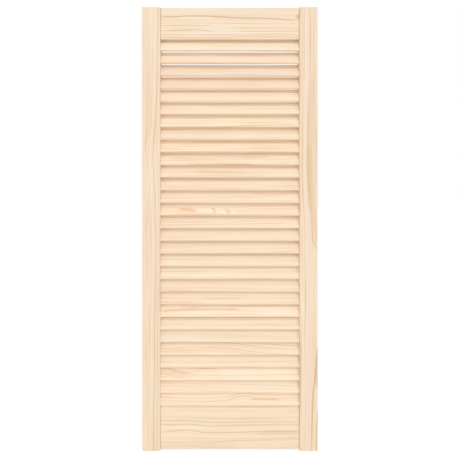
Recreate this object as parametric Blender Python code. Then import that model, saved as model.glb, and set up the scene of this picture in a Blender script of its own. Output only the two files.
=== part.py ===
"""Louvred cabinet door in solid pine, built as a joiner builds it.

Two stiles and two rails make the frame, held together at the corners by fluted dowels.
A ladder of fixed slats fills the frame. Each slat slants down towards the front, has round
edges, and is held by its two ends in slanted slots that are routed into the stiles.

Units are metres. X runs along the slats, -Y is the front of the door and Z is up. The origin
is under the door's feet, at the middle of its width and of its thickness.
"""

import math

import bmesh
import bpy
from mathutils import Matrix, Vector

# Door outline
DOOR_WIDTH = 0.394
DOOR_HEIGHT = 0.993

# Stiles, the two uprights
STILE_WIDTH = 0.041
STILE_THICKNESS = 0.021
STILE_EDGE_RADIUS = 0.0012
STILE_FOOT = 0.0027  # how far the stiles run past the bottom rail

# Rails, the two cross pieces, which are thinner than the stiles and stand in the middle of them
TOP_RAIL_HEIGHT = 0.070
BOTTOM_RAIL_HEIGHT = 0.099
RAIL_THICKNESS = 0.015
RAIL_EDGE_RADIUS = 0.0008

# Slats
SLAT_WIDTH = 0.033
SLAT_THICKNESS = 0.006
SLAT_EDGE_RADIUS = 0.0028
SLAT_ANGLE = math.radians(65)  # slope from front edge up to back edge, measured from the floor
SLAT_SPACING = 0.0285  # wanted distance from slat to slat, evened out to fill the frame
END_SLAT_MARGIN = 0.0120  # from a rail's edge to the middle of the slat next to it
SLAT_SEAT = 0.0077  # how far each end of a slat goes into its stile

# Dowels, two at each corner of the frame
DOWEL_DIAMETER = 0.006
DOWEL_LENGTH = 0.040
DOWEL_FLUTES = 12
DOWEL_FLUTE_DEPTH = 0.0003
DOWEL_CHAMFER = 0.0008
DOWEL_FROM_RAIL_EDGE = 0.020  # from a rail's long edges to the middles of its dowels

# Fits
SLOT_FIT = 0.0003  # room all round a slat's end in its slot
BEVEL_FIT = 0.0005  # room between a rail's bevel and the slat that tucks in behind it
BUTT_FIT = 0.0003  # glue line between a rail's end and its stile
DOWEL_FIT = 0.0002  # room round a dowel in its hole
DOWEL_END_ROOM = 0.001  # room for glue past each end of a dowel

# Facets
EDGE_SEGMENTS = 2
NOSE_SEGMENTS = 5

# Sizes that follow from the ones above
OPENING_WIDTH = DOOR_WIDTH - 2 * STILE_WIDTH
STILE_MIDDLE = (DOOR_WIDTH - STILE_WIDTH) / 2
RAIL_LENGTH = OPENING_WIDTH - 2 * BUTT_FIT
BOTTOM_RAIL_TOP = STILE_FOOT + BOTTOM_RAIL_HEIGHT
TOP_RAIL_BOTTOM = DOOR_HEIGHT - TOP_RAIL_HEIGHT
LOWEST_SLAT = BOTTOM_RAIL_TOP + END_SLAT_MARGIN
HIGHEST_SLAT = TOP_RAIL_BOTTOM - END_SLAT_MARGIN
SLAT_STEPS = round((HIGHEST_SLAT - LOWEST_SLAT) / SLAT_SPACING)
SLAT_PITCH = (HIGHEST_SLAT - LOWEST_SLAT) / SLAT_STEPS
SLAT_LENGTH = OPENING_WIDTH + 2 * SLAT_SEAT
# A slat is drawn lying flat, front edge at -Y, and then raised about X so that its back edge goes up.
SLAT_TURN = Matrix.Rotation(SLAT_ANGLE, 4, "X")
SLAT_FACE = SLAT_TURN.to_3x3() @ Vector((0, 0, 1))  # points out of the slat's upper, front side


def clear_scene():
    for obj in list(bpy.data.objects):
        bpy.data.objects.remove(obj)


def new_collection(name):
    collection = bpy.data.collections.new(name)
    bpy.context.scene.collection.children.link(collection)
    return collection


def wood(name, colour, roughness):
    material = bpy.data.materials.new(name)
    material.use_nodes = True
    shader = material.node_tree.nodes["Principled BSDF"]
    shader.inputs["Base Color"].default_value = (*colour, 1.0)
    shader.inputs["Roughness"].default_value = roughness
    shader.inputs["Metallic"].default_value = 0.0
    return material


def add_object(name, shape, collection, matrix):
    """Puts a bmesh into the scene as an object with that name and place."""
    mesh = bpy.data.meshes.new(name)
    shape.to_mesh(mesh)
    shape.free()
    obj = bpy.data.objects.new(name, mesh)
    obj.matrix_world = matrix
    collection.objects.link(obj)
    return obj


def add_piece(name, shape, matrix, material):
    """One piece of the door, carried by the empty at the door's origin."""
    obj = add_object(name, shape, pieces, matrix)
    obj.data.materials.append(material)
    obj.parent = door
    return obj


def add_cutter(name, shape, collection, matrix):
    obj = add_object(name, shape, collection, matrix)
    obj.hide_render = True
    obj.display_type = "WIRE"
    return obj


def cut(obj, collection):
    """Takes every shape of a cutter collection out of a piece."""
    modifier = obj.modifiers.new(collection.name, "BOOLEAN")
    modifier.operation = "DIFFERENCE"
    modifier.solver = "EXACT"
    modifier.operand_type = "COLLECTION"
    modifier.collection = collection


def bar(size, along, radius, segments):
    """A box of that size whose four edges along one axis (0, 1 or 2) are rounded to that radius."""
    shape = bmesh.new()
    bmesh.ops.create_cube(shape, size=1.0, matrix=Matrix.Diagonal((*size, 1.0)))
    long_edges = [
        edge
        for edge in shape.edges
        if abs((edge.verts[1].co - edge.verts[0].co)[along]) > size[along] / 2
    ]
    bmesh.ops.bevel(
        shape,
        geom=long_edges,
        offset=radius,
        segments=segments,
        profile=0.5,
        affect="EDGES",
        clamp_overlap=True,
    )
    return shape


def box(size):
    shape = bmesh.new()
    bmesh.ops.create_cube(shape, size=1.0, matrix=Matrix.Diagonal((*size, 1.0)))
    return shape


def rod(diameter, length):
    """A round bar along X."""
    shape = bmesh.new()
    bmesh.ops.create_cone(
        shape,
        cap_ends=True,
        segments=2 * DOWEL_FLUTES,
        radius1=diameter / 2,
        radius2=diameter / 2,
        depth=length,
        matrix=Matrix.Rotation(math.pi / 2, 4, "Y"),
    )
    return shape


def dowel_shape():
    """A rod with flutes along it, which let glue out of the hole, and with chamfered ends."""
    shape = rod(DOWEL_DIAMETER, DOWEL_LENGTH)
    ends = [face for face in shape.faces if abs(face.normal.x) > 0.5]
    chamfered = bmesh.ops.inset_region(shape, faces=ends, thickness=DOWEL_CHAMFER)
    rim = {vertex for face in chamfered["faces"] for vertex in face.verts}
    tips = {vertex for face in ends for vertex in face.verts}
    for vertex in rim - tips:
        vertex.co.x -= math.copysign(DOWEL_CHAMFER, vertex.co.x)
    flute_angle = math.pi / DOWEL_FLUTES
    for vertex in shape.verts:
        around = math.atan2(vertex.co.z, vertex.co.y)
        if round(around / flute_angle) % 2:
            radius = math.hypot(vertex.co.y, vertex.co.z)
            vertex.co.yz *= 1 - DOWEL_FLUTE_DEPTH / radius
    return shape


def slat_place(height):
    return Matrix.Translation((0, 0, height)) @ SLAT_TURN


def make_slot_cutters(hand, side):
    """One short bar for each slat, the slat's own section plus its fit, half of it inside the stile."""
    cutters = new_collection(f"{hand}_slot_cutters")
    size = (
        2 * (SLAT_SEAT + SLOT_FIT),
        SLAT_WIDTH + 2 * SLOT_FIT,
        SLAT_THICKNESS + 2 * SLOT_FIT,
    )
    stile_edge = Matrix.Translation((side * OPENING_WIDTH / 2, 0, 0))
    for number, height in enumerate(slat_heights, 1):
        shape = bar(size, 0, SLAT_EDGE_RADIUS + SLOT_FIT, NOSE_SEGMENTS)
        add_cutter(f"{hand}_slot_{number:02d}", shape, cutters, stile_edge @ slat_place(height))
    return cutters


def make_dowel_hole_cutters():
    cutters = new_collection("dowel_hole_cutters")
    for name, place in dowel_places.items():
        shape = rod(DOWEL_DIAMETER + 2 * DOWEL_FIT, DOWEL_LENGTH + 2 * DOWEL_END_ROOM)
        add_cutter(f"hole_for_{name}", shape, cutters, Matrix.Translation(place))
    return cutters


def make_bevel_cutter(name, slat_height, side):
    """A block that planes a rail's edge parallel to its slat: side is 1 above the slat, -1 below."""
    cutters = new_collection(name)
    block = (DOOR_WIDTH, 2 * SLAT_WIDTH, 2 * SLAT_WIDTH)
    face_to_middle = SLAT_THICKNESS / 2 + BEVEL_FIT
    middle = Vector((0, 0, slat_height)) + SLAT_FACE * side * (face_to_middle - block[2] / 2)
    add_cutter(f"{name}_block", box(block), cutters, Matrix.Translation(middle) @ SLAT_TURN)
    return cutters


def make_stile(hand, side):
    size = (STILE_WIDTH, STILE_THICKNESS, DOOR_HEIGHT)
    shape = bar(size, 2, STILE_EDGE_RADIUS, EDGE_SEGMENTS)
    place = Matrix.Translation((side * STILE_MIDDLE, 0, DOOR_HEIGHT / 2))
    stile = add_piece(f"{hand}_stile", shape, place, stile_pine)
    cut(stile, make_slot_cutters(hand, side))
    cut(stile, dowel_holes)


def make_rail(name, bottom, height, bevel):
    size = (RAIL_LENGTH, RAIL_THICKNESS, height)
    shape = bar(size, 0, RAIL_EDGE_RADIUS, EDGE_SEGMENTS)
    place = Matrix.Translation((0, 0, bottom + height / 2))
    rail = add_piece(name, shape, place, rail_pine)
    cut(rail, bevel)
    cut(rail, dowel_holes)


def make_slat(number, height):
    size = (SLAT_LENGTH, SLAT_WIDTH, SLAT_THICKNESS)
    shape = bar(size, 0, SLAT_EDGE_RADIUS, NOSE_SEGMENTS)
    add_piece(f"slat_{number:02d}", shape, slat_place(height), slat_pine)


def places_of_dowels():
    """The middle of each dowel, on the line where a rail's end meets its stile."""
    heights = {
        "top_rail_upper": DOOR_HEIGHT - DOWEL_FROM_RAIL_EDGE,
        "top_rail_lower": TOP_RAIL_BOTTOM + DOWEL_FROM_RAIL_EDGE,
        "bottom_rail_upper": BOTTOM_RAIL_TOP - DOWEL_FROM_RAIL_EDGE,
        "bottom_rail_lower": STILE_FOOT + DOWEL_FROM_RAIL_EDGE,
    }
    sides = {"left": -1, "right": 1}
    return {
        f"dowel_{row}_{hand}": Vector((side * OPENING_WIDTH / 2, 0, height))
        for row, height in heights.items()
        for hand, side in sides.items()
    }


clear_scene()
pieces = new_collection("louvred_cabinet_door")
door = bpy.data.objects.new("door_origin", None)
pieces.objects.link(door)

stile_pine = wood("stile_pine", (0.88, 0.70, 0.50), 0.62)
rail_pine = wood("rail_pine", (0.90, 0.72, 0.52), 0.62)
slat_pine = wood("slat_pine", (0.92, 0.74, 0.53), 0.60)
dowel_beech = wood("dowel_beech", (0.62, 0.43, 0.27), 0.65)

slat_heights = [HIGHEST_SLAT - step * SLAT_PITCH for step in range(SLAT_STEPS + 1)]
dowel_places = places_of_dowels()
dowel_holes = make_dowel_hole_cutters()
top_bevel = make_bevel_cutter("top_rail_bevel", HIGHEST_SLAT, 1)
bottom_bevel = make_bevel_cutter("bottom_rail_bevel", LOWEST_SLAT, -1)

make_stile("left", -1)
make_stile("right", 1)
make_rail("top_rail", TOP_RAIL_BOTTOM, TOP_RAIL_HEIGHT, top_bevel)
make_rail("bottom_rail", STILE_FOOT, BOTTOM_RAIL_HEIGHT, bottom_bevel)
for number, height in enumerate(slat_heights, 1):
    make_slat(number, height)
for name, place in dowel_places.items():
    add_piece(name, dowel_shape(), Matrix.Translation(place), dowel_beech)
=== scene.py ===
# %% [markdown]
# # Dressing a louvred pine door
#
# The frame holds the plain solids of a louvred door: two stiles, two rails, a ladder of slats and the
# dowels that hold the corners. This lesson gives every board the shape and the skin of planed, untreated
# pine. Each step first says what the real thing is like, how it could be made, and why it is made this way.

# %% Load the frame
import math
from dataclasses import dataclass, field, fields, replace

import bpy
import numpy as np
from mathutils import Matrix, Vector


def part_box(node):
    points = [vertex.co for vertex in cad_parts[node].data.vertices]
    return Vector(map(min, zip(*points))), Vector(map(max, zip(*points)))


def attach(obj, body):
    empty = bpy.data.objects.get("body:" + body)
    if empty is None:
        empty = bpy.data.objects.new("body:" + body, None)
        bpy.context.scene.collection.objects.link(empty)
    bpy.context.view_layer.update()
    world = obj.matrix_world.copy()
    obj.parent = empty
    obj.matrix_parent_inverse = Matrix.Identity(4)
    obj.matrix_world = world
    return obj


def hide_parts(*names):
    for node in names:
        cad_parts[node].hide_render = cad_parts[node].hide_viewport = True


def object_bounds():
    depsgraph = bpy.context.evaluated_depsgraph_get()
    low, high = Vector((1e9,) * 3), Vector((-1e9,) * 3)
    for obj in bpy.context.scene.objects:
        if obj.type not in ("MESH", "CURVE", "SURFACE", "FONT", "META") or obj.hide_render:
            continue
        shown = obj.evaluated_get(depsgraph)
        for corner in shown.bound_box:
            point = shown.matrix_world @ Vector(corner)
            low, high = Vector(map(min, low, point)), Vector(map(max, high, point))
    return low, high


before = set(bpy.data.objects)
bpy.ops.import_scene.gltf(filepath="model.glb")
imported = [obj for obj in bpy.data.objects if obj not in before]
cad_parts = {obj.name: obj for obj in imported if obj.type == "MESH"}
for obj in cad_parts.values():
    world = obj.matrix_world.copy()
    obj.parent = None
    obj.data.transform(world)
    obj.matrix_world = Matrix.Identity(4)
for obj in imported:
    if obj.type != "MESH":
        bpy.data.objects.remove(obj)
cad_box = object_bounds()
MM = 0.001
print("frame:", len(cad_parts), "nodes,", [round(side, 3) for side in cad_box[1] - cad_box[0]], "m")

# %% [markdown]
# ## Measuring the solids
#
# Every size comes from the frame, so that the dressed boards stay where the solids are. A box is enough for
# a stile or a rail. A slat stands at a slant, so its box hides its section. Its points, seen along the slat,
# spread furthest across its width, and the main direction of that spread is the slant. A singular value
# decomposition gives that direction in one call.

# %% Measure the boards
POINT_PLACES = 6  # decimal places of a metre: points that agree so far count as one


def box_of(node):
    """Lowest and highest corner of a node, as arrays."""
    low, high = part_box(node)
    return np.array(low), np.array(high)


def slat_section(node):
    """Slant, width and thickness of a slat, from the spread of its points about their middle."""
    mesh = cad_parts[node].data
    points = np.empty(3 * len(mesh.vertices))
    mesh.vertices.foreach_get("co", points)
    section = np.unique(points.reshape(-1, 3).round(POINT_PLACES), axis=0)[:, 1:]
    section -= section.mean(0)
    _, _, directions = np.linalg.svd(section, full_matrices=False)
    width, thickness = np.ptp(section @ directions.T, axis=0)
    back, up = directions[0] * np.sign(directions[0, 1])
    return math.atan2(up, back), width, thickness


slat_names = sorted(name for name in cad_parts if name.startswith("slat_"))
slant, slat_width, slat_thickness = slat_section(slat_names[0])
stile_low, stile_high = box_of("left_stile")
stile_width, stile_thickness, stile_length = stile_high - stile_low
print(f"{len(slat_names)} slats of {slat_width / MM:.1f} x {slat_thickness / MM:.1f} mm,",
      f"slant {math.degrees(slant):.1f} degrees")

# %% [markdown]
# ## The axes of a board
#
# A joiner thinks along the grain, across the board and into its thickness. Each board here has those three
# axes, with the last one pointing out of the side that faces the room. The same matrix serves twice: it puts
# the mesh in its place, and the wood's pattern reads it backwards, so grain always runs along its own board.

# %% Place the boards


def board_axes(along, across, middle):
    """A matrix whose columns are the board's axes, along, across and outwards, and its middle."""
    along, across = np.array(along, float), np.array(across, float)
    axes = np.eye(4)
    axes[:3, :4] = np.stack([along, across, np.cross(along, across), middle], 1)
    return axes


RIGHT, UP, DOWN = (1, 0, 0), (0, 0, 1), (0, 0, -1)
UP_THE_SLAT = (0, math.cos(slant), math.sin(slant))
places = {name: board_axes(RIGHT, UP_THE_SLAT, np.mean(box_of(name), 0)) for name in slat_names}
for name in ("top_rail", "bottom_rail"):
    places[name] = board_axes(RIGHT, UP, np.mean(box_of(name), 0))
for name in ("left_stile", "right_stile"):
    places[name] = board_axes(DOWN, RIGHT, np.mean(box_of(name), 0))
print("boards placed:", len(places))

# %% [markdown]
# ## A section with rounded corners
#
# Planed boards have their sharp corners, the arrises, just taken off with fine paper, and the slats have
# noses that are almost half round. A Bevel modifier could round a box. Working the corners out as arcs gives
# the same section at any fineness, lets the rounding change along the board as a hand would leave it, and
# needs no modifier.

# %% Round a section's corners
ARC_STEPS = 7
FLAT_MARGIN = 0.1 * MM  # a point this far from each arc keeps the flat beside it flat under smooth shading


def rounded_section(corners, radius, shrink):
    """A convex section with round corners, once for each station along a board.

    The corners run counter-clockwise. An arc's centre is where the two sides, moved in by the radius, meet.
    Its points are that centre plus (radius - shrink) times a direction that swings evenly from the one
    side's outward normal to the other's. One more point lies on each side, a margin away from the arc.
    """
    ahead = np.roll(corners, -1, 0) - corners
    ahead /= np.linalg.norm(ahead, axis=1, keepdims=True)
    behind = np.roll(ahead, 1, 0)
    out_ahead = np.stack([ahead[:, 1], -ahead[:, 0]], 1)
    out_behind = np.roll(out_ahead, 1, 0)
    cosine = (out_ahead * out_behind).sum(1)
    turn = np.arccos(cosine)[:, None]
    swing = np.linspace(0, 1, ARC_STEPS + 1)
    directions = np.sin((1 - swing) * turn)[..., None] * out_behind[:, None]
    directions = (directions + np.sin(swing * turn)[..., None] * out_ahead[:, None]) / np.sin(turn)[..., None]
    inward = (out_ahead + out_behind) / (1 + cosine)[:, None]
    radius, shrink = (np.asarray(value)[:, None, None, None] for value in (radius, shrink))
    arcs = corners[:, None] - radius * inward[:, None] + (radius - shrink) * directions
    before = arcs[:, :, :1] - FLAT_MARGIN * behind[:, None]
    after = arcs[:, :, -1:] + FLAT_MARGIN * ahead[:, None]
    return np.concatenate([before, arcs, after], 2).reshape(len(radius), -1, 2)


def rectangle(width, thickness):
    """The four corners of a rectangle round its middle: plus and minus half of each side."""
    return np.array([(-1, -1), (1, -1), (1, 1), (-1, 1)]) * (width / 2, thickness / 2)


print("points round a rectangle:", rounded_section(rectangle(1, 1), [0.1], [0.0]).shape[1])

# %% [markdown]
# ## Carrying a section along a board
#
# Sawn and planed wood is one section carried along a straight line. Here the line has stations, closer
# together at the ends, where the saw's sharp edge is broken by pulling the last section in a little. The
# rounding is not quite even from station to station. A few sine waves, each with its own start, stand for
# the hand that held the paper.

# %% Carry a section along
STILE_ARRIS = 1.0 * MM
END_EASE = 0.25 * MM
STATION_STEP = 8 * MM
WAVE_COUNT = 4
WAVE_PACE = 19.0  # radians to a metre, for the longest wave
rng = np.random.default_rng(29)  # a fixed seed, so every run draws the same door


def uneven(stations, amount):
    """A slow wave about 1: a few sines of falling length and size, each with a start drawn at random."""
    waves = np.arange(1, WAVE_COUNT + 1)
    starts = rng.uniform(0, 2 * np.pi, len(waves))
    sines = np.sin(stations[:, None] * waves * WAVE_PACE + starts) / waves
    return 1 + amount * sines.sum(1)


def carried(corners, length, radius, hand=0.0):
    """Points and faces of a board in its own axes: a rounded section at every station, joined by quads.

    hand is how much the rounding varies. Faces come as one array for each number of corners: the quads
    between the stations, and the two ends.
    """
    count = round(length / STATION_STEP)
    inner = np.linspace(-length / 2 + END_EASE, length / 2 - END_EASE, count)
    stations = np.concatenate([[-length / 2], inner, [length / 2]])
    shrink = np.zeros(len(stations))
    shrink[[0, -1]] = END_EASE
    sections = rounded_section(corners, radius * uneven(stations, hand), shrink)
    rows, around, _ = sections.shape
    along = np.broadcast_to(stations[:, None, None], (rows, around, 1))
    points = np.concatenate([along, sections], 2).reshape(-1, 3)
    grid = np.arange(rows * around).reshape(rows, around)
    beside = np.roll(grid, -1, 1)
    quads = np.stack([grid[:-1], beside[:-1], beside[1:], grid[1:]], -1).reshape(-1, 4)
    return points, [quads, np.stack([grid[0, ::-1], grid[-1]])]


def to_world(points, place):
    """Points of a board moved from its own axes to the door's: turned, then shifted to its middle."""
    return points @ place[:3, :3].T + place[:3, 3]


points, faces = carried(rectangle(stile_width, stile_thickness), stile_length, STILE_ARRIS)
print("a plain stile:", len(points), "points,", sum(map(len, faces)), "faces")

# %% [markdown]
# ## From arrays to pieces
#
# A piece is an object at the origin with its place in its mesh, as the frame's own nodes are. Objects could
# be moved into place instead, but an export that puts them back at the origin would make the wood's pattern
# slide. Each piece rides on the door's single body, and the solid it stands for is hidden.

# %% Make a piece
SHARP = math.radians(35)


def mesh_from(name, points, faces):
    """A mesh from an array of points and a list of face arrays."""
    mesh = bpy.data.meshes.new(name)
    mesh.from_pydata(points, [], [face for group in faces for face in group.tolist()])
    mesh.update()
    return mesh


def add_object(name, data):
    """A new object at the origin that holds a mesh, a lamp or a camera."""
    added = bpy.data.objects.new(name, data)
    bpy.context.scene.collection.objects.link(added)
    return added


def settle(piece, node):
    """Shades a finished piece, gives it its body and hides the solid it stands for."""
    piece.data.shade_smooth()
    piece.data.set_sharp_from_angle(angle=SHARP)
    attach(piece, "root")
    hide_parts(node)


print(f"edges of more than {math.degrees(SHARP):.0f} degrees stay sharp")

# %% [markdown]
# ## Slots and holes
#
# The slats sit in stopped slots that a round bit leaves in the stiles' inner edges, and the dowels in bored
# holes. Both are cut as in the workshop: a shape a little larger than what goes in is taken out of the board
# with an exact Boolean, and its result becomes the mesh, so that no modifier is left to work out later.

# %% Cut into a board
SLOT_FIT = 0.3 * MM
HOLE_FIT = 0.2 * MM
HOLE_SPARE = 1 * MM  # room past each end of a dowel
HOLE_SIDES = 24
SLAT_NOSE = 2.8 * MM


def slot_cutter(slat):
    """The slat's own section, larger all round by the fit and longer by it at both ends."""
    low, high = box_of(slat)
    section = rectangle(slat_width + 2 * SLOT_FIT, slat_thickness + 2 * SLOT_FIT)
    points, faces = carried(section, high[0] - low[0] + 2 * SLOT_FIT, SLAT_NOSE + SLOT_FIT)
    return to_world(points, places[slat]), faces


def hole_cutter(dowel):
    """A round bar along X, larger than its dowel by the fit: a circle carried to two stations."""
    low, high = box_of(dowel)
    middle = (low + high) / 2
    reach = (high[0] - low[0]) / 2 + HOLE_SPARE
    radius = (high[2] - low[2]) / 2 + HOLE_FIT
    angles = np.linspace(0, 2 * np.pi, HOLE_SIDES, endpoint=False)
    circle = np.stack([0 * angles, radius * np.cos(angles), radius * np.sin(angles)], 1)
    points = np.concatenate([circle + middle - (reach, 0, 0), circle + middle + (reach, 0, 0)])
    start = np.arange(HOLE_SIDES)
    beside = np.roll(start, -1)
    sides = np.stack([start, beside, beside + HOLE_SIDES, start + HOLE_SIDES], 1)
    return points, [sides, np.stack([start[::-1], start + HOLE_SIDES])]


def cut_out(piece, shapes):
    """Takes every shape out of the piece and keeps the result as its mesh."""
    starts = np.cumsum([0] + [len(points) for points, _ in shapes])
    points = np.concatenate([points for points, _ in shapes])
    faces = [group + start for start, (_, groups) in zip(starts, shapes) for group in groups]
    cutter = add_object("cutter", mesh_from("cutter", points, faces))
    modifier = piece.modifiers.new("cut", "BOOLEAN")
    modifier.operation = "DIFFERENCE"
    modifier.solver = "EXACT"
    modifier.object = cutter
    whole = piece.data
    with_cuts = piece.evaluated_get(bpy.context.evaluated_depsgraph_get())
    piece.data = bpy.data.meshes.new_from_object(with_cuts)
    piece.modifiers.clear()
    bpy.data.objects.remove(cutter)
    bpy.data.meshes.remove(whole)


slots = [slot_cutter(name) for name in slat_names]
holes = [hole_cutter(name) for name in sorted(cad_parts) if name.startswith("dowel_")]
print("cutters:", len(slots), "slots and", len(holes), "holes")

# %% [markdown]
# ## The stiles
#
# A stile is a plain upright. Its four long arrises are eased a little unevenly, its ends are sawn square, and
# its inner edge carries the ladder of slots and the dowel holes. The slots could be left out, since the slats
# hide them, but then the slats' ends would run through solid wood.

# %% Build the stiles
STILE_HAND = 0.12
stiles = []
for name in ("left_stile", "right_stile"):
    section = rectangle(stile_width, stile_thickness)
    points, faces = carried(section, stile_length, STILE_ARRIS, hand=STILE_HAND)
    stile = add_object(f"{name}_board", mesh_from(name, to_world(points, places[name]), faces))
    cut_out(stile, slots + holes)
    settle(stile, name)
    stiles.append(stile)
print("stiles:", [len(stile.data.polygons) for stile in stiles], "faces")

# %% [markdown]
# ## The rails
#
# A rail is a thinner board between the stiles. The edge next to the slats is planed to their slant, so that
# the first slat tucks up behind the top rail and the last one comes down over the bottom rail. That edge is
# a line parallel to the slat's face. Where the line meets the rail's long edge and its face, two corners
# take the place of one.

# %% Build the rails
RAIL_ARRIS = 0.7 * MM
RAIL_HAND = 0.1
BEVEL_FIT = 0.5 * MM


def rail_section(rail, slat, side):
    """Corners of a rail in (up, out) round its middle. The bevel keeps its distance from the slat's face.

    side is 1 for a rail above its slat and -1 for one below. On the bevel's line the distance from the
    slat's middle, measured square to the slat, is half its thickness plus the fit.
    """
    low, high = box_of(rail)
    height, thickness = high[2] - low[2], high[1] - low[1]
    step = places[slat][:3, 3] - places[rail][:3, 3]
    middle_up, middle_out = step[2], -step[1]
    reach = slat_thickness / 2 + BEVEL_FIT

    def up_at(out):
        """Height of the bevel's line at a distance out from the rail's middle."""
        return middle_up + (side * reach - (out - middle_out) * math.sin(slant)) / math.cos(slant)

    def out_at(up):
        """How far out the bevel's line is at a height."""
        return middle_out + (side * reach - (up - middle_up) * math.cos(slant)) / math.sin(slant)

    edge = -side * height / 2
    face = -side * thickness / 2
    bevelled = [(edge, out_at(edge)), (up_at(face), face)]
    plain = [(-edge, face), (-edge, -face), (edge, -face)]
    return np.array(bevelled + plain)


rails = []
for name, slat, side in (("top_rail", slat_names[0], 1), ("bottom_rail", slat_names[-1], -1)):
    low, high = box_of(name)
    corners = rail_section(name, slat, side)
    points, faces = carried(corners, high[0] - low[0], RAIL_ARRIS, hand=RAIL_HAND)
    rail = add_object(f"{name}_board", mesh_from(name, to_world(points, places[name]), faces))
    cut_out(rail, holes)
    settle(rail, name)
    rails.append(rail)
    print(name, "corners (mm):", (corners / MM).round(1).tolist())

# %% [markdown]
# ## The slats
#
# Every slat is the same strip with round noses. Thin strips of wood never stay quite flat, and in a row of
# them the eye finds the small bows. Each slat is bent a little: half a sine along its length, square to its
# face, drawn at random, so that the ends stay in their slots. The two slats beside the rails are straighter,
# because a rail's bevel runs close to them.

# %% Build the slats
SLAT_HAND = 0.01
BOW = 0.6 * MM
RAIL_SHARE = 0.35  # of that bow, for a slat beside a rail
slats = []
for name in slat_names:
    low, high = box_of(name)
    length = high[0] - low[0]
    points, faces = carried(rectangle(slat_width, slat_thickness), length, SLAT_NOSE, hand=SLAT_HAND)
    bow = BOW * (RAIL_SHARE if name in (slat_names[0], slat_names[-1]) else 1.0)
    points[:, 2] += rng.uniform(-bow, bow) * np.cos(points[:, 0] * np.pi / length)
    slat = add_object(f"{name}_board", mesh_from(name, to_world(points, places[name]), faces))
    settle(slat, name)
    slats.append(slat)
print("slats:", len(slats), "of", len(slats[0].data.polygons), "faces")

# %% [markdown]
# ## What pine is made of
#
# Every year a pine adds a wide pale ring in spring and a thin dark one in late summer. A board is a straight
# cut through those rings, so its grain is a solid pattern, not a picture laid on it: the rings' distance from
# the tree's middle, the pith, read at each point of the board. A lean of the pith turns straight lines into
# pointed arches, and a slow noise makes them wander. The description of one board is a short list of facts.

# %% Describe a board


@dataclass
class Board:
    """How a board was cut, in the board's own axes."""

    seed: float
    face: float  # from the board's middle out to its front face
    year: float  # growth in one year
    pith: tuple  # the tree's middle, across and outwards from the board's middle
    wander: float  # slow drift of the grain
    depth: float  # darkness of the late wood
    warmth: float  # 0 is a yellow cream, 1 a pink one
    lean: tuple = (0.0, 0.0)  # how the pith drifts across and outwards, for each metre along
    flow: list = field(default_factory=list)  # a bend of the grain: points on one line of it, as for a streak
    bands: float = 0.05  # how much years differ in tone
    light: float = 1.0
    streaks: list = field(default_factory=list)
    knots: list = field(default_factory=list)


@dataclass
class Streak:
    """A line in the wood, or a line of painted shade, on a smooth course through a few points of the front
    face, all in millimetres.
    """

    course: list  # (along, across) points
    half_width: float
    strength: float
    fade: float = 30  # how far before and past each end it comes and goes
    core: float = 0.15  # the share of the half width that has the full strength
    tint: str = "tan"  # or pale, or rosy


@dataclass
class Knot:
    """A small spot where a twig began, in millimetres."""

    along: float
    across: float
    half_length: float
    half_width: float
    strength: float


print("facts about a board:", [fact.name for fact in fields(Board)])

# %% [markdown]
# ## Short words for shader sums
#
# A wood material is mostly arithmetic. Wiring it by hand needs three lines for each sum, so a bench with a
# few short words does it: one adds a node and fills its sockets from numbers or other nodes, and the rest
# name the sums that come back again and again. Wood is uneven in many ways at once, and each of those is a
# noise with its own ripples along and across the grain.

# %% Set up the shader bench
SEED_STEPS = (1.0, 1.7, 0.6)  # how far one seed moves a noise along each axis
CURVE_ROOM = 1 * MM  # left free above and below a curve's points
NOWHERE = (0.0, 0.0, 0.0)


@dataclass
class Ripples:
    """A noise in the wood: its ripples to a metre, along the grain and square to it."""

    along: float
    across: float
    seed: float  # added to the board's own, so that no two noises of a board are alike
    detail: float = 2.0


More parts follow.
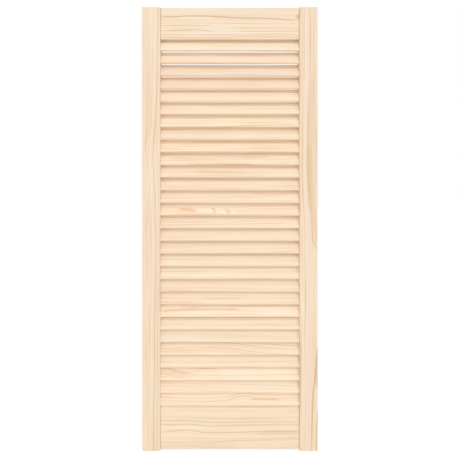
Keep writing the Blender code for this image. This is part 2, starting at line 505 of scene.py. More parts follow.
class Bench:
    """Adds nodes to one material's tree. Every word but fill gives back the socket that holds its result."""

    def __init__(self, material):
        self.tree = material.node_tree

    def fill(self, node, inputs):
        """Sets a node's inputs by name: another node's socket is wired in, and a number is set."""
        for name, value in inputs.items():
            if isinstance(value, bpy.types.NodeSocket):
                self.tree.links.new(value, node.inputs[name])
            else:
                node.inputs[name].default_value = value

    def node(self, kind, inputs, output=0, **settings):
        """Any shader node, with its inputs and settings. output says which of its results is wanted."""
        made = self.tree.nodes.new("ShaderNode" + kind)
        for name, value in settings.items():
            setattr(made, name, value)
        self.fill(made, inputs)
        return made.outputs[output]

    def sum(self, operation, first, second=0.0, third=0.0):
        """A sum of numbers."""
        return self.node("Math", {0: first, 1: second, 2: third}, operation=operation)

    def vector(self, operation, first, second=NOWHERE, third=NOWHERE):
        """A sum of vectors."""
        return self.node("VectorMath", {0: first, 1: second, 2: third}, operation=operation)

    def measure(self, operation, first, second=NOWHERE):
        """A sum of vectors whose result is a number, such as a length."""
        return self.node("VectorMath", {0: first, 1: second}, output="Value", operation=operation)

    def parts(self, point):
        """A point's three coordinates."""
        return tuple(self.node("SeparateXYZ", {0: point}).node.outputs)

    def mix(self, share, first, second, blend="MIX"):
        """A colour between two others. A Mix node has its colours in sockets 6 and 7 and out of socket 2."""
        return self.node("Mix", {0: share, 6: first, 7: second}, output=2, data_type="RGBA", blend_type=blend)

    def ramp(self, value, low, high, to_low=0.0, to_high=1.0, interpolation="LINEAR"):
        """A straight line from to_low to to_high while the value goes from low to high, level past both."""
        limits = {"Value": value, "From Min": low, "From Max": high, "To Min": to_low, "To Max": to_high}
        return self.node("MapRange", limits, interpolation_type=interpolation)

    def slope(self, *limits):
        """A ramp with soft ends."""
        return self.ramp(*limits, interpolation="SMOOTHSTEP")

    def noise(self, point, ripples, seed=0.0, output="Fac"):
        """Noise in stretched space, so that it runs along the grain."""
        stretch = (ripples.along, ripples.across, ripples.across)
        start = tuple((seed + ripples.seed) * step for step in SEED_STEPS)
        moved = self.vector("MULTIPLY_ADD", point, stretch, start)
        return self.node("TexNoise", {"Vector": moved, "Scale": 1.0, "Detail": ripples.detail}, output=output)

    def wave(self, value, pace, seed, detail=1.0):
        """Noise along a line: a wave with about that many ripples to one unit of the value."""
        where = self.sum("MULTIPLY_ADD", value, pace, seed)
        return self.node("TexNoise", {"W": where, "Scale": 1.0, "Detail": detail}, noise_dimensions="1D")

    def curve(self, value, points):
        """A smooth curve through a few listed (input, output) points, given in millimetres."""
        points = [(x * MM, y * MM) for x, y in points]
        inputs, outputs = zip(*points)
        start, end = min(inputs), max(inputs)
        low, high = min(outputs) - CURVE_ROOM, max(outputs) + CURVE_ROOM
        made = self.tree.nodes.new("ShaderNodeFloatCurve")
        line = made.mapping.curves[0]
        shares = [((x - start) / (end - start), (y - low) / (high - low)) for x, y in points]
        line.points[0].location = shares[0]
        line.points[1].location = shares[-1]
        for share in shares[1:-1]:
            line.points.new(*share)
        made.mapping.update()
        self.fill(made, {"Value": self.ramp(value, start, end)})
        return self.ramp(made.outputs[0], 0.0, 1.0, low, high)


def new_finish(name):
    """A new material, its bench and its shader."""
    material = bpy.data.materials.new(name)
    material.use_nodes = True
    return material, Bench(material), material.node_tree.nodes["Principled BSDF"]


print("shader bench ready")

# %% [markdown]
# ## The grain of a board
#
# The rings are the distance from the pith, counted in years. Inside one year the wood darkens slowly towards
# late summer and stops sharply, so the late wood is a slow rise and a steep fall. No two years are alike: a
# random number for each ring sets how dark it is. A wood texture of straight, even bands would be quicker,
# but its lines would neither bend with the grain nor end in arches where a board leaves a ring.

# %% Read the rings
DRIFT = Ripples(5.0, 4.0, seed=0.0)
RAGGED = Ripples(22.0, 260.0, seed=3.0)
PATCHES = Ripples(9.0, 80.0, seed=4.0)
NOISE_MIDDLE = (0.5, 0.5, 0.5)
SUMMER_PACE = 0.4  # ripples to a year
SUMMER_SEED = 2.0
SUMMER_SHIFT = 1.6  # years by which good and bad summers move the rings
RAGGED_SHIFT = 0.25  # years by which a ring's edge is ragged
DARKENS = (0.25, 0.90)  # the part of a year in which the wood turns dark
PALES = (0.92, 1.0)  # and the part in which it turns pale again
FAINTEST_RING = 0.10
PATCH_NOISE = (0.34, 0.66)
PATCH_STRENGTH = (0.25, 1.4)


def board_point(bench, place):
    """The point being shaded, in the axes of its board, with the board's middle at zero."""
    axes = Matrix(place.tolist())
    here = bench.node("TexCoord", {}, output="Object")
    turned = {"Vector": here, "Location": axes.to_translation(), "Rotation": axes.to_euler()}
    return bench.node("Mapping", turned, vector_type="TEXTURE")


def years_from_pith(bench, point, board):
    """The year in which a point of the board grew, counted from the pith, with its fraction.

    It is the distance from the pith, square to the grain, over one year's growth. The grain's bend, lean and
    drift move the point first. Good and bad summers and ragged edges move the count afterwards.
    """
    along, across, deep = bench.parts(point)
    drift = bench.vector("SUBTRACT", bench.noise(point, DRIFT, board.seed, output="Color"), NOISE_MIDDLE)
    drift = bench.vector("MULTIPLY", drift, (0.0, 2 * board.wander, 2 * board.wander))
    if board.flow:
        across = bench.sum("SUBTRACT", across, bench.curve(along, board.flow))
    across = bench.sum("MULTIPLY_ADD", along, board.lean[0], across)
    deep = bench.sum("MULTIPLY_ADD", along, board.lean[1], deep)
    from_pith = bench.node("CombineXYZ", {1: across, 2: deep})
    from_pith = bench.vector("SUBTRACT", bench.vector("ADD", from_pith, drift), (0.0, *board.pith))
    years = bench.sum("DIVIDE", bench.measure("LENGTH", from_pith), board.year)
    summers = bench.wave(years, SUMMER_PACE, board.seed + SUMMER_SEED)
    years = bench.sum("MULTIPLY_ADD", summers, SUMMER_SHIFT, years)
    return bench.sum("MULTIPLY_ADD", bench.noise(point, RAGGED, board.seed), RAGGED_SHIFT, years)


def late_wood(bench, point, years, board):
    """The share of late wood: a slow rise and a steep fall in each year, times that year's own strength."""
    year = bench.sum("FLOOR", years)
    season = bench.sum("FRACT", years)
    luck = bench.node("TexWhiteNoise", {"W": bench.sum("ADD", year, board.seed)}, noise_dimensions="1D")
    ring = bench.sum("MULTIPLY", bench.slope(season, *DARKENS), bench.slope(season, *PALES, 1.0, 0.0))
    strength = bench.slope(luck, 0.0, 1.0, FAINTEST_RING, 1.0)
    patchy = bench.slope(bench.noise(point, PATCHES, board.seed), *PATCH_NOISE, *PATCH_STRENGTH)
    return bench.sum("MULTIPLY", ring, bench.sum("MULTIPLY", strength, patchy))


print(f"a ring darkens from {DARKENS[0]:.0%} of its year and is darkest at {DARKENS[1]:.0%}")

# %% [markdown]
# ## Streaks and knots
#
# Some marks belong to one board alone: a resin-dark ring that runs its whole length, a pale band beside it,
# or the rosy tan spot where a twig began. Chance won't put them where they are wanted, so they are drawn one
# by one. A streak is the distance from a smooth course through a few points, and a knot is the distance from
# a middle, stretched along the grain. A little noise keeps their edges from looking drawn.

# %% Draw marks by hand
WOBBLE = Ripples(14.0, 30.0, seed=11.0)
RIM = Ripples(160.0, 400.0, seed=17.0)
WIDTH_NOISE = (0.3, 0.7)
WIDTH_SHARES = (0.6, 1.4)  # of a streak's half width, where that noise is low and where it is high
RIM_SHIFT = 0.5  # by which a knot's rim is ragged, as a share of its size
KNOT_CORE = 0.2  # the share of its size that has the full strength


def streak_mask(bench, point, mark, board):
    """A streak's strength on its course, falling to 0 at its half width and fading out past its ends.

    The course lies on the front face. Further in, the streak moves sideways as its ring does: square to the
    line from the pith to the board's middle, so by minus the pith's outward part over its part across.
    """
    along, across, deep = bench.parts(point)
    course = bench.curve(along, mark.course)
    inside = bench.sum("SUBTRACT", deep, board.face)
    course = bench.sum("MULTIPLY_ADD", inside, -board.pith[1] / board.pith[0], course)
    off = bench.sum("ABSOLUTE", bench.sum("SUBTRACT", across, course))
    narrow, wide = (share * mark.half_width * MM for share in WIDTH_SHARES)
    reach = bench.ramp(bench.noise(point, WOBBLE, board.seed), *WIDTH_NOISE, narrow, wide)
    near = bench.slope(bench.sum("DIVIDE", off, reach), mark.core, 1.0, 1.0, 0.0)
    start, end, fade = mark.course[0][0] * MM, mark.course[-1][0] * MM, mark.fade * MM
    begun = bench.slope(along, start - fade, start + fade)
    unfinished = bench.slope(along, end - fade, end + fade, 1.0, 0.0)
    here = bench.sum("MULTIPLY", bench.sum("MULTIPLY", near, begun), unfinished)
    return bench.sum("MULTIPLY", here, mark.strength)


def knot_mask(bench, point, mark, board):
    """A knot's strength at its middle, falling to 0 at its half length and half width, with a ragged rim."""
    stretch = (1 / (mark.half_length * MM), 1 / (mark.half_width * MM), 0.0)
    offset = (-mark.along / mark.half_length, -mark.across / mark.half_width, 0.0)
    reach = bench.measure("LENGTH", bench.vector("MULTIPLY_ADD", point, stretch, offset))
    rim = bench.ramp(bench.noise(point, RIM, board.seed), 0.0, 1.0, -RIM_SHIFT, RIM_SHIFT)
    reach = bench.sum("ADD", reach, rim)
    return bench.sum("MULTIPLY", bench.slope(reach, KNOT_CORE, 1.0, 1.0, 0.0), mark.strength)


print("a streak is", WIDTH_SHARES[0], "to", WIDTH_SHARES[1], "times as wide as it is drawn")

# %% [markdown]
# ## The colours of pine
#
# Fresh pine is a cream that drifts between yellow and pink, darker and redder in the late wood. Those
# colours could be one long colour ramp. Kept apart, each has a name and a place: the cream lies at the
# bottom, the marks are laid over it, and the fibres darken all of it a little, blue the most, because dark
# wood is also warmer. Sawn ends show cut fibres, which drink light.

# %% Colour the wood
YELLOW_CREAM = (0.945, 0.803, 0.617)
PINK_CREAM = (0.935, 0.720, 0.567)
LATE_WOOD = (0.730, 0.464, 0.250)
STREAK_TAN = (0.720, 0.449, 0.224)
ROSY_TAN = (0.834, 0.511, 0.271)
PALE_CREAM = (0.970, 0.880, 0.720)
END_GRAIN = (0.750, 0.540, 0.355)
BRIGHTEST = 0.98
TINTS = {"tan": STREAK_TAN, "pale": PALE_CREAM, "rosy": ROSY_TAN}
TONE = Ripples(4.0, 24.0, seed=9.0, detail=4.0)
TONE_NOISE = (0.25, 0.75)
WARMTH_DRIFT = 0.35
HALO_LENGTH = 1.8  # of a knot's length
HALO_WIDTH = 1.4  # of a knot's width
HALO_STRENGTH = 0.5
FIBRE_NOISE = (0.2, 0.8)
FIBRE_TONE = (0.95, 1.035)
BAND_PACE = 1.6  # ripples to a year
BAND_DETAIL = 3.0
BAND_NOISE = (0.25, 0.75)
DARK_BAND = 1.4  # how much further a band goes to the dark side than to the light one
BLUE_POWER = 1.8
SAWN = (0.6, 0.9)  # cosine of the angle between a face's normal and the grain


def shaded(colour, light):
    """A colour times one factor, with the fourth number that a colour socket takes."""
    return tuple(min(channel * light, BRIGHTEST) for channel in colour) + (1.0,)


def cream(bench, point, board):
    """The ground colour: a share of pink that drifts about the board's warmth."""
    tone = bench.noise(point, TONE, board.seed)
    warm = bench.ramp(tone, *TONE_NOISE, board.warmth - WARMTH_DRIFT, board.warmth + WARMTH_DRIFT)
    return bench.mix(warm, shaded(YELLOW_CREAM, board.light), shaded(PINK_CREAM, board.light))


def with_marks(bench, point, board, colour):
    """A colour with the board's streaks laid over it, and then its knots, each in a pale halo."""
    for mark in board.streaks:
        paint = shaded(TINTS[mark.tint], board.light)
        colour = bench.mix(streak_mask(bench, point, mark, board), colour, paint)
    for mark in board.knots:
        halo = replace(mark, half_length=HALO_LENGTH * mark.half_length,
                       half_width=HALO_WIDTH * mark.half_width, strength=HALO_STRENGTH)
        colour = bench.mix(knot_mask(bench, point, halo, board), colour, shaded(PALE_CREAM, board.light))
        colour = bench.mix(knot_mask(bench, point, mark, board), colour, shaded(ROSY_TAN, board.light))
    return colour


def fibre_tone(bench, fibres, years, board):
    """A factor near 1 for each channel: the fibres' tone times the years' tone, to a power for blue."""
    bands = bench.wave(years, BAND_PACE, board.seed, detail=BAND_DETAIL)
    year_tone = bench.ramp(bands, *BAND_NOISE, 1 - DARK_BAND * board.bands, 1 + board.bands)
    grey = bench.sum("MULTIPLY", bench.ramp(fibres, *FIBRE_NOISE, *FIBRE_TONE), year_tone)
    return bench.node("CombineXYZ", {0: grey, 1: grey, 2: bench.sum("POWER", grey, BLUE_POWER)})


def sawn_share(bench, place):
    """1 on the faces across the grain and 0 on the others, from the cosine between normal and grain."""
    facing = bench.node("NewGeometry", {}, output="Normal")
    cosine = bench.measure("DOT_PRODUCT", facing, tuple(place[:3, 0]))
    return bench.slope(bench.sum("ABSOLUTE", cosine), *SAWN)


print("tints for streaks:", sorted(TINTS))

# %% [markdown]
# ## Putting the pine together
#
# A planed pine board is dull, with fine fibres and short resin ducts along the grain. Late wood is harder and
# stands a hair proud, which the bump follows. Real dents that fine would need millions of faces, and at this
# distance only the light on them shows.

# %% Make a board's pine
FIBRES = Ripples(9.0, 620.0, seed=5.0, detail=3.0)
DUCTS = Ripples(34.0, 1300.0, seed=7.0)
DUCT_NOISE = (0.66, 0.76)
DUCT_STRENGTH = 0.10
SAWN_STRENGTH = 0.45
ROUGHNESS = (0.66, 0.52)  # between the fibres and on them
GLOSS = 0.2
PROUD = 0.35  # late wood's height, as a share of the fibres'
BUMP_STRENGTH = 0.35
BUMP_DEPTH = 0.15 * MM


def pine(name, place, board):
    """A material for one board, from its description."""
    material, bench, shader = new_finish(name)
    point = board_point(bench, place)
    years = years_from_pith(bench, point, board)
    late = late_wood(bench, point, years, board)
    fibres = bench.noise(point, FIBRES, board.seed)
    ducts = bench.slope(bench.noise(point, DUCTS, board.seed), *DUCT_NOISE)
    colour = cream(bench, point, board)
    colour = bench.mix(bench.sum("MULTIPLY", late, board.depth), colour, shaded(LATE_WOOD, board.light))
    colour = with_marks(bench, point, board, colour)
    ducts = bench.sum("MULTIPLY", ducts, DUCT_STRENGTH)
    colour = bench.mix(ducts, colour, shaded(STREAK_TAN, board.light))
    colour = bench.mix(1.0, colour, fibre_tone(bench, fibres, years, board), blend="MULTIPLY")
    sawn = bench.sum("MULTIPLY", sawn_share(bench, place), SAWN_STRENGTH)
    colour = bench.mix(sawn, colour, shaded(END_GRAIN, board.light))
    height = bench.sum("ADD", bench.sum("MULTIPLY", late, PROUD), fibres)
    bench.fill(shader, {
        "Base Color": colour,
        "Roughness": bench.ramp(fibres, *FIBRE_NOISE, *ROUGHNESS),
        "Specular IOR Level": GLOSS,
        "Normal": bench.node("Bump", {"Height": height, "Strength": BUMP_STRENGTH, "Distance": BUMP_DEPTH}),
    })
    return material


def dress(piece, board):
    """Gives a piece a pine of its own, in place of what its cuts left."""
    node = piece.name.removesuffix("_board")
    piece.data.materials.clear()
    piece.data.materials.append(pine(f"pine_{node}", places[node], board))


print("fibres to a metre:", FIBRES.across, "across and", FIBRES.along, "along")

# %% [markdown]
# ## The stiles' boards
#
# The stiles stand at the front, so their marks are easy to see. On the left one a line leaves the inner edge,
# swings to the middle and comes part of the way back. On the right one a tan line runs down the middle and
# curls out to the edge at half height, and darker ones come in again near the foot. A thin tan line down the
# right stile's inner edge is painted shade, where its inner face and the joint beside it lie in shadow. A
# photograph of a board could be laid on, but it would stop at every corner. Here each mark is a short course,
# written down in millimetres from the board's middle: down the stile first, then to the right.

# %% Describe the stiles
stile_face = stile_thickness / 2
LEFT_SWING = [(-344, 13.7), (-255, 11), (-183, 5.6), (-159, 4.7), (-123, 6.4), (-47, 9.2), (91, 10.5),
              (178, 8.6)]
left_board = Board(
    seed=2.0, face=stile_face, year=3.6 * MM, pith=(0.095, -0.04), wander=2 * MM, depth=0.75, warmth=0.55,
    light=0.985,
    flow=[(-496, 16), *LEFT_SWING, (400, 6), (496, 6)],
    streaks=[
        Streak([(-496, 16.4), *LEFT_SWING, (360, 7), (402, 6), (496, 6)], 1.5, 0.5),
        Streak([(-262, 11.2), (-228, 9.2), (-183, 5.6)], 1.4, 0.4, 15),
        Streak([(395, 6.1), (496, 6)], 1.5, 0.2, 20),
        Streak([(-496, -12), (-380, -12), (-270, -12)], 9, 0.12, 60, core=0.5),
        Streak([(150, 15.5), (496, 15.5)], 6, 0.13, 40, core=0.5),
        Streak([(340, -14), (496, -14)], 6, 0.35, 40, core=0.5, tint="pale"),
        Streak([(-240, -6.3), (-227, -7), (-202, -11), (-176, -13.4)], 1.3, 0.5, 12),
    ])
right_board = Board(
    seed=4.0, face=stile_face, year=5.0 * MM, pith=(0.09, -0.06), wander=2 * MM, depth=0.45, warmth=0.55,
    light=0.975,
    flow=[(-496, 2.6), (-300, 1), (-160, -2.7), (-50, 0.5), (50, 4), (496, 4)],
    streaks=[
        Streak([(-330, 10), (-255, 7), (-160, 5.5), (-100, 6), (-45, 9), (0, 12.5), (25, 14.5)],
               10, 0.24, 60, core=0.5),
        Streak([(-190, 1.5), (-98, 2.5), (-60, 4), (-35, 7)], 4.5, 0.3, 25, core=0.4),
        Streak([(-498, 2.6), (-351, 2.6), (-255, -0.9), (-159, -2.7), (-98, -1.4), (-60, 0), (-40, 3.2),
                (-2, 7.1), (20, 8), (31, 12), (40, 16)], 2.0, 0.6, 10),
        Streak([(-240, 16), (-160, 16.2), (-100, 15), (-55, 14.2), (0, 15.5), (30, 16)], 1.6, 0.4, 25),
        Streak([(-496, -14.6), (-300, -15), (-160, -14.6), (-60, -13)], 1.5, 0.4),
        Streak([(262, 20.5), (306, 16), (337, 13.4), (377, 9), (424, 7.6), (496, 6)], 2.4, 0.8, 15),
        Streak([(285, 19), (330, 18), (352, 18)], 5, 0.45, 15, core=0.5),
        Streak([(405, 20.5), (425, 19), (449, 17.5), (496, 17)], 2.8, 0.8, 15),
        Streak([(245, -19), (290, -18), (330, -18.2), (375, -19), (400, -19.5)], 3.6, 0.5, 30, core=0.4),
        # painted shade: a tan line down the inner edge, where the stile's inner face and the joint beside it
        # lie in shadow
        Streak([(-498, -20.3), (498, -20.3)], 1.3, 0.6),
        Streak([(140, -14.1), (330, -14.3), (400, -14.6), (440, -15.5), (496, -16)],
               1.9, 0.65, 25, core=0.3, tint="pale"),
        Streak([(300, -8.5), (496, -8)], 3, 0.4, 40, core=0.3, tint="pale"),
    ])
for stile, board in zip(stiles, (left_board, right_board)):
    dress(stile, board)
    print("dressed", stile.name, "with", len(board.streaks), "streaks")

# %% [markdown]
# ## The rails' boards
#
# A rail shows lines from end to end. On the top one a strong line runs into a knot at the right end. The
# bottom one has a slow wave. Along its bevel, where the last slat comes down over it, a dark line and a wider
# band are painted shade: the shadow of the last slat's nose, and the bevel darkened to the tone of the face.
# They are described as the stiles are, with the course to the right first, then upwards.

# %% Describe the rails
rail_face = np.ptp(box_of("top_rail"), axis=0)[1] / 2
top_board = Board(
    seed=6.0, face=rail_face, year=5.5 * MM, pith=(-0.11, -0.05), wander=2 * MM, depth=0.25, warmth=0.45,
    bands=0.04, light=0.985,
    streaks=[
        Streak([(-120, 11), (-40, 11)], 3, 0.4, 30, core=0.3, tint="pale"),
        Streak([(-154, 14.8), (-118, 15), (-101, 16.4), (-58, 16.4), (-28, 14.9), (31, 12.2), (95, 10.9),
                (117, 9), (134, 7.8), (156, 8.8)], 2.6, 0.75),
        Streak([(-150, 14.7), (-112, 15)], 3.4, 0.4, 12),
        Streak([(-42, 15.5), (-5, 13.7)], 3.4, 0.4, 12),
        Streak([(-152, 2.2), (-90, 2.8), (-30, 1.2), (60, -1), (156, -1.5)], 1.6, 0.4),
        Streak([(-154, -4.8), (-97, -4.2), (-69, -4.4), (-40, -5.2)], 1.8, 0.65, 15),
        Streak([(-140, -16), (-91, -14.9), (-69, -14.5), (-54, -15.8), (-41, -17.6)], 2.0, 0.7, 12),
        Streak([(10, -10.2), (80, -10.6), (156, -10.8)], 1.6, 0.5),
        Streak([(20, -17.2), (90, -17.6), (156, -17)], 1.6, 0.5),
        Streak([(-154, -25.2), (-40, -25.5), (60, -24.4), (156, -25)], 1.6, 0.4),
        Streak([(-154, -30.6), (-12, -32.4), (5, -31.5), (20, -29.3), (55, -29.7), (156, -30.6)], 1.6, 0.5),
    ],
    knots=[Knot(156, 15, 13, 8.5, 1.0)])
bottom_board = Board(
    seed=8.0, face=rail_face, year=6.5 * MM, pith=(0.10, -0.05), wander=2 * MM, depth=0.3, warmth=0.4,
    bands=0.04,
    flow=[(-156, 0), (-110, 0.8), (-75, -1), (-40, -3), (-15, -3.4), (50, -2.4), (156, -1)],
    streaks=[
        Streak([(-108, 18), (0, 17.5), (117, 18)], 1.4, 0.3),
        Streak([(-155, 13.8), (-100, 14.6), (-75, 12.6), (-48, 10.8), (-22, 10), (95, 11.5), (156, 10.7)],
               1.7, 0.5),
        Streak([(-155, 4.2), (-86, 4.6), (-65, 2.7), (-44, 1.7), (20, 3.2), (156, 4.2)], 1.7, 0.5),
        Streak([(-150, -12), (-129, -10), (-100, -8.7), (-60, -12.6), (-33, -13.5), (10, -13.3), (50, -11.4),
                (74, -10.7), (156, -10.7)], 1.9, 0.65),
        Streak([(60, -14.5), (110, -14), (156, -15)], 7, 0.35, 40),
        Streak([(-155, -36), (-76, -36), (-33, -35.3), (0, -31.6), (31, -30.4), (74, -30), (112, -27.8),
                (156, -25.5)], 1.7, 0.5),
        Streak([(-155, -41.7), (-97, -42.7), (0, -42)], 1.4, 0.3),
        # painted shade: a dark line along the bevel under the last slat's nose, standing in for its shadow
        Streak([(-158, 43.6), (158, 43.6)], 1.9, 0.45, core=0.2),
        # painted shade: the whole bevel darkened a little, so that, tilted up to the lamp, it is no brighter
        # than the face
        Streak([(-158, 40.5), (158, 40.5)], 6, 0.14, core=0.5),
    ])
for rail, board in zip(rails, (top_board, bottom_board)):
    dress(rail, board)
    print("dressed", rail.name, "with", len(board.streaks), "streaks")

# %% [markdown]
# ## The slats' boards
#
# Slats are cut from whatever is left over, so every one is a different cut of a different tree. One pine for
# all of them would repeat its marks down the door. A loop draws a board for each slat instead, makes a few
# of them pinker, yellower, paler or duskier, and gives five slats the marks that set them apart.

# %% Describe the slats
SLAT_SEED = 20.0
SLAT_SEED_STEP = 3.0
PINK_SLATS = (2, 3, 21, 25)
YELLOW_SLATS = (1, 5, 7, 10, 19, 27)
PALE_SLATS = (2, 7, 8, 9, 10, 14, 22, 27)
DUSKY_SLATS = (3, 4, 12, 16, 17, 18, 20, 24)
PINKER = 0.15
YELLOWER = 0.2
PALER = 0.02
DUSKIER = 0.025
PLAIN_CUT = dict(pith=(-0.10, -0.05), lean=(0.0, 0.0), wander=1 * MM)
LAST_WAVE = [(-160, -6.2), (-76, -9), (-33, -8.2), (1, -4.7), (23, 0.2), (36, 0.7), (64, -2.3), (160, -3.1)]
special_slats = {
    14: dict(
        streaks=[
            Streak([(-80, -6), (-20, -7), (10, -8)], 6, 0.5, 20, core=0.3, tint="pale"),
            Streak([(-114, -2.2), (-98, -3.2), (-84, -4), (-76, -7)], 5, 0.75, 8, core=0.45, tint="rosy"),
            Streak([(-40, -1.2), (-36, -2.6), (-32, -6.2), (-30, -9.4)], 3.6, 0.8, 2.5, core=0.35),
            Streak([(-12, -2.2), (-6.4, -3.6), (-2, -6), (1.5, -8.6)], 3.4, 0.7, 2.5, core=0.35),
        ],
        knots=[Knot(-35.5, -10.5, 8.5, 8.5, 0.55), Knot(-3, -9.5, 9.5, 8.5, 0.65)]),
    22: dict(streaks=[
        Streak([(-156, -4.5), (-120, -2.2), (-90, -1.2), (-20, -1.3), (20, -1.6)], 3.4, 0.5, 20, core=0.4),
        Streak([(-110, -7.5), (-30, -7), (25, -8)], 4, 0.4, 20, core=0.3, tint="pale"),
        Streak([(60, -7), (156, -7)], 8, 0.35, 35, core=0.5, tint="pale"),
    ]),
    25: dict(
        **PLAIN_CUT, depth=0.75, year=3.2 * MM,
        flow=[(-160, 4), (-80, 6), (-20, 5.8), (10, 4), (40, 0.5), (80, -4), (120, -6.5), (160, -8)]),
    27: dict(
        **PLAIN_CUT, depth=0.7, year=2.8 * MM,
        flow=[(-160, 9), (-149, 7.5), (-119, 0.5), (-97, -4), (-72, -6.6), (-10, -7.2), (160, -6)],
        streaks=[
            Streak([(-40, -4), (150, -4)], 10, 0.33, 40, core=0.6, tint="pale"),
            Streak([(-156, -5), (-90, -5)], 10, 0.24, 30, core=0.6),
        ]),
    29: dict(
        **PLAIN_CUT, depth=0.35, year=5 * MM,
        flow=LAST_WAVE,
        streaks=[
            Streak(LAST_WAVE, 1.7, 0.5),
            Streak([(50, -3.6), (75, -4.2), (113, -4.2)], 3.2, 0.55, 10, core=0.5),
        ]),
}


def slat_board(number):
    """A slat's description: a cut drawn at random, its tone, and what is special about it."""
    board = Board(
        seed=SLAT_SEED + SLAT_SEED_STEP * number,
        face=slat_thickness / 2,
        year=rng.uniform(3.2, 5.5) * MM,
        pith=(rng.choice([-1, 1]) * rng.uniform(0.06, 0.14), -rng.uniform(0.02, 0.08)),
        lean=(rng.uniform(-0.012, 0.012), rng.uniform(-0.02, 0.02)),
        wander=rng.uniform(1.0, 2.2) * MM,
        depth=rng.uniform(0.5, 0.75),
        warmth=(rng.uniform(0.42, 0.58) + PINKER * (number in PINK_SLATS)
                - YELLOWER * (number in YELLOW_SLATS)),
        light=rng.uniform(0.99, 1.0) + PALER * (number in PALE_SLATS) - DUSKIER * (number in DUSKY_SLATS),
    )
    return replace(board, **special_slats.get(number, {}))


for number, slat in enumerate(slats, 1):
    dress(slat, slat_board(number))
print("dressed slats:", len(slats), "of them special:", sorted(special_slats))

# %% [markdown]
# ## The dowels
#
# The dowels sit inside the joints and keep their solids, which already have flutes and chamfers. Beech is
# darker than pine and shows short brown flecks, the rays, instead of rings, so two noises are enough.

# %% Dress the dowels
BEECH_FIBRES = Ripples(30.0, 900.0, seed=1.0, detail=3.0)
BEECH_RAYS = Ripples(350.0, 1500.0, seed=5.0)
BEECH_DARK = (0.52, 0.35, 0.21, 1.0)
BEECH_LIGHT = (0.70, 0.51, 0.33, 1.0)
RAY_BROWN = (0.36, 0.20, 0.10, 1.0)
RAY_NOISE = (0.60, 0.70)
RAY_STRENGTH = 0.5
BEECH_ROUGHNESS = (0.7, 0.5)


def beech():
    """A material for all the dowels: fibres between two browns, with darker rays."""
    material, bench, shader = new_finish("beech_dowel")
    here = bench.node("TexCoord", {}, output="Object")
    fibres = bench.noise(here, BEECH_FIBRES)
    rays = bench.slope(bench.noise(here, BEECH_RAYS), *RAY_NOISE)
    colour = bench.mix(fibres, BEECH_DARK, BEECH_LIGHT)
    colour = bench.mix(bench.sum("MULTIPLY", rays, RAY_STRENGTH), colour, RAY_BROWN)
    bench.fill(shader, {"Base Color": colour, "Roughness": bench.ramp(fibres, 0.0, 1.0, *BEECH_ROUGHNESS)})
    return material


dowel_beech = beech()
dowels = [node for name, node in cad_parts.items() if name.startswith("dowel_")]
for dowel in dowels:
    dowel.material_slots[0].material = dowel_beech
print("dressed dowels:", len(dowels))

# %% [markdown]
# ## The background
#
# The door stands in a white studio. A large white card could stand behind it, but it would need light of its
# own. The world is plain white for every ray that shows what it hits, and gives a slightly weaker, soft light
# from all round to everything else.

# %% Set the background
AMBIENT = 0.935
WHITE = (1, 1, 1, 1)


def seen_directly(bench):
    """1 for rays that show what they hit: from the camera, from a gloss or through glass."""
    path = bench.node("LightPath", {}).node
    seen = path.outputs["Is Camera Ray"]
    for name in ("Is Glossy Ray", "Is Transmission Ray"):
        seen = bench.sum("MAXIMUM", seen, path.outputs[name])
    return seen


scene = bpy.context.scene
world = bpy.data.worlds.new("studio")
scene.world = world
world.use_nodes = True
bench = Bench(world)
strength = bench.ramp(seen_directly(bench), 0.0, 1.0, AMBIENT, 1.0)
bench.fill(world.node_tree.nodes["Background"], {"Color": WHITE, "Strength": strength})
print("light from all round:", AMBIENT)

# %% [markdown]
# ## The floor
#
# The door stands on a pale floor that has no edge in the picture. A curved backdrop would hide the edge, as
# in a studio. A flat floor does it too, if it adds a little glow of its own for the camera: it runs into the
# white behind it and still darkens where the door's shadow falls.

# %% Lay the floor
FLOOR_SIZE = 8.0
FLOOR_GREY = (0.8, 0.8, 0.8, 1)
FLOOR_ROUGHNESS = 0.9
GLOW_REACH = (0.2, 1.6)  # metres from the door's foot
GLOW = (0.36, 0.40)  # near the door and further away

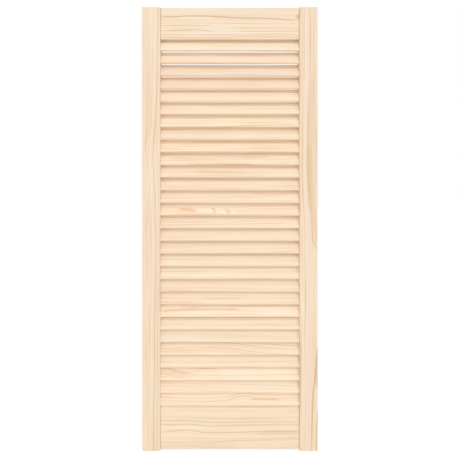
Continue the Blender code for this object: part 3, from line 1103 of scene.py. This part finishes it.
floor_points = np.pad(rectangle(FLOOR_SIZE, FLOOR_SIZE), ((0, 0), (0, 1)))
floor = add_object("floor", mesh_from("floor", floor_points, [np.array([[0, 1, 2, 3]])]))
floor_paint, bench, shader = new_finish("floor_paint")
away = bench.measure("LENGTH", bench.node("TexCoord", {}, output="Object"))
glow = bench.sum("MULTIPLY", bench.slope(away, *GLOW_REACH, *GLOW), seen_directly(bench))
bench.fill(shader, {
    "Base Color": FLOOR_GREY,
    "Roughness": FLOOR_ROUGHNESS,
    "Emission Color": WHITE,
    "Emission Strength": glow,
})
floor.data.materials.append(floor_paint)
print("floor:", FLOOR_SIZE, "m square")

# %% [markdown]
# ## The lamp
#
# One soft light, high in front and slightly to the right, leaves the top of each slat in the shade of the
# slat above. An area lamp close by would light the top of the door more than its foot. A sun lamp is even
# from top to foot, and its angle makes the shadows' edges soft.

# %% Light the door
KEY_FROM = (0.10, -0.90, 1.0)
KEY_SOFTNESS = 16  # degrees
KEY_STRENGTH = 0.60

lamp = bpy.data.lights.new("key", "SUN")
lamp.angle = math.radians(KEY_SOFTNESS)
lamp.energy = KEY_STRENGTH
key = add_object("key", lamp)
key.rotation_euler = (-Vector(KEY_FROM)).to_track_quat("-Z", "Y").to_euler()
print("lit from", KEY_FROM)

# %% [markdown]
# ## The camera
#
# The photograph was taken square on with a wide lens, close up, from above the door's middle. The camera's
# axis meets the picture well above its centre, so the frame is shifted and the camera isn't tilted, which
# keeps the stiles upright.

# %% Point the camera
PICTURE = 460
MM_PER_PIXEL = 2.235
DOOR_TOP_PIXEL = 7.0
DOOR_MIDDLE_PIXEL = 229.85
AXIS_PIXEL = (218.0, 168.0)
DISTANCE = 0.600  # from the stiles' front faces
SENSOR = 36.0
NEAREST = 0.01

camera = bpy.data.cameras.new("camera")
camera.sensor_width = SENSOR
camera.lens = SENSOR * DISTANCE / (PICTURE * MM_PER_PIXEL * MM)
camera.shift_x = (PICTURE / 2 - AXIS_PIXEL[0]) / PICTURE
camera.shift_y = -(PICTURE / 2 - AXIS_PIXEL[1]) / PICTURE
camera.clip_start = NEAREST
viewer = add_object("camera", camera)
viewer.location = (
    (AXIS_PIXEL[0] - DOOR_MIDDLE_PIXEL) * MM_PER_PIXEL * MM,
    cad_box[0][1] - DISTANCE,
    cad_box[1][2] - (AXIS_PIXEL[1] - DOOR_TOP_PIXEL) * MM_PER_PIXEL * MM,
)
viewer.rotation_euler = (math.pi / 2, 0, 0)
scene.camera = viewer
scene.view_settings.view_transform = "Standard"
print(f"camera: lens {camera.lens:.1f} mm, shift {camera.shift_x:.3f}, {camera.shift_y:.3f}")
